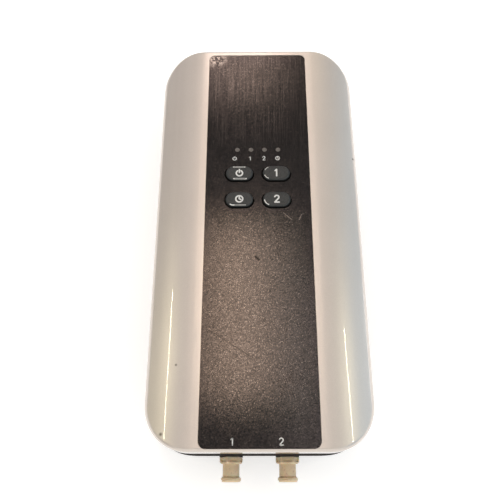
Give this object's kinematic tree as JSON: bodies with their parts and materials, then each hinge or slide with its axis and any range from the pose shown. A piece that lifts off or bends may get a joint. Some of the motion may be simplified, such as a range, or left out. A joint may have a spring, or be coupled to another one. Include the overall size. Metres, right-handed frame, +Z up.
{
  "type": "compression therapy pump",
  "caption": "Slim table-top air pump for compression garments: curved two-part housing, dark key panel, luer air ports, diaphragm pump and valves inside.",
  "frame": {"origin": "middle of the footprint, ports included, on the table under the feet", "axes": "+Z up, -Y the way the air ports point, +X to the right as the keys are read"},
  "size_m": [0.085, 0.1844, 0.0428],
  "materials": {
    "pearl_shell": "champagne-silver pearl paint, glossy",
    "dark_shell": "fine satin texture",
    "panel": "dark metallic film with a fine sparkle",
    "foot_rubber": "matt",
    "steel": "zinc plated",
    "button": "glossy",
    "ivory_plastic": "moulded",
    "black_plastic": "moulded",
    "smoked_plastic": "smoked clear",
    "led": "epoxy",
    "board": "green solder mask",
    "capacitor": "sleeved can",
    "fitting": "moulded almond nylon",
    "nut": "moulded nylon",
    "tube": "clear silicone",
    "valve_body": "moulded",
    "bright_steel": "ground",
    "pump_plastic": "glass-filled nylon",
    "brass": "turned",
    "magnet": "ferrite",
    "copper": "enamelled copper winding",
    "red_wire": "stranded, insulated",
    "black_wire": "stranded, insulated",
    "cream_wire": "stranded, insulated",
    "green_wire": "stranded, insulated"
  },
  "bodies": {
    "housing": {"top_cover": "pearl_shell", "bottom_cover": "dark_shell", "control_panel": "panel", "rubber_feet": "foot_rubber", "case_screws": "steel", "tact_switches": "black_plastic", "indicator_windows": "smoked_plastic", "indicator_leds": "led", "control_board": "board", "board_screws": "steel", "microcontroller": "black_plastic", "capacitors": "capacitor", "wire_header": "ivory_plastic", "port_1_fitting": "fitting", "port_2_fitting": "fitting", "port_seals": "foot_rubber", "port_nuts": "nut", "port_tubes": "tube", "valve_1_body": "valve_body", "valve_1_spring": "bright_steel", "valve_1_core": "bright_steel", "valve_2_body": "valve_body", "valve_2_spring": "bright_steel", "valve_2_core": "bright_steel", "valve_tubes": "tube", "air_manifold": "ivory_plastic", "pressure_sensor": "black_plastic", "pump_tube": "tube", "pump_body": "pump_plastic", "crank_cover": "pump_plastic", "pump_head": "pump_plastic", "pump_screws": "steel", "pump_pad": "foot_rubber", "diaphragm": "foot_rubber", "motor_can": "bright_steel", "motor_end_cap": "ivory_plastic", "motor_magnets": "magnet", "motor_strap": "steel", "strap_screws": "steel", "power_jack": "black_plastic", "power_jack_pin": "bright_steel", "motor_leads": "red_wire", "jack_leads": "black_wire", "valve_leads": "cream_wire", "sensor_leads": "green_wire"},
    "power_key": {"power_button": "button", "power_plunger": "ivory_plastic"},
    "timer_key": {"timer_button": "button", "timer_plunger": "ivory_plastic"},
    "port_1_key": {"port_1_button": "button", "port_1_plunger": "ivory_plastic"},
    "port_2_key": {"port_2_button": "button", "port_2_plunger": "ivory_plastic"},
    "rotor": {"motor_shaft": "bright_steel", "motor_armature": "copper", "eccentric": "brass"},
    "rod": {"connecting_rod": "ivory_plastic", "diaphragm_clamp": "bright_steel"},
    "valve_1_armature": {"valve_1_plunger": "bright_steel"},
    "valve_2_armature": {"valve_2_plunger": "bright_steel"}
  },
  "joints": [
    {"name": "power_press", "type": "slide", "parent": "housing", "child": "power_key", "axis": [0, 0, -1], "range_m": [0, 0.0005], "stiffness_N_per_m": 500, "springref_m": -0.001},
    {"name": "timer_press", "type": "slide", "parent": "housing", "child": "timer_key", "axis": [0, 0, -1], "range_m": [0, 0.0005], "stiffness_N_per_m": 500, "springref_m": -0.001},
    {"name": "port_1_press", "type": "slide", "parent": "housing", "child": "port_1_key", "axis": [0, 0, -1], "range_m": [0, 0.0005], "stiffness_N_per_m": 500, "springref_m": -0.001},
    {"name": "port_2_press", "type": "slide", "parent": "housing", "child": "port_2_key", "axis": [0, 0, -1], "range_m": [0, 0.0005], "stiffness_N_per_m": 500, "springref_m": -0.001},
    {"name": "motor_spin", "type": "hinge", "parent": "housing", "child": "rotor", "pos_m": [0.012, -0.0042, 0.0165], "axis": [0, 1, 0], "continuous": true, "deforming": ["diaphragm"]},
    {"name": "rod_swing", "type": "hinge", "parent": "rotor", "child": "rod", "pos_m": [0.0108, -0.0042, 0.0165], "axis": [0, 1, 0], "continuous": true},
    {"name": "valve_1_lift", "type": "slide", "parent": "housing", "child": "valve_1_armature", "axis": [0, 1, 0], "range_m": [0, 0.001], "stiffness_N_per_m": 300, "springref_m": -0.001, "deforming": ["valve_1_spring"]},
    {"name": "valve_2_lift", "type": "slide", "parent": "housing", "child": "valve_2_armature", "axis": [0, 1, 0], "range_m": [0, 0.001], "stiffness_N_per_m": 300, "springref_m": -0.001, "deforming": ["valve_2_spring"]}
  ],
  "couplings": [
    {"joint": "rod_swing", "follows": "motor_spin", "ratio": -1}
  ]
}
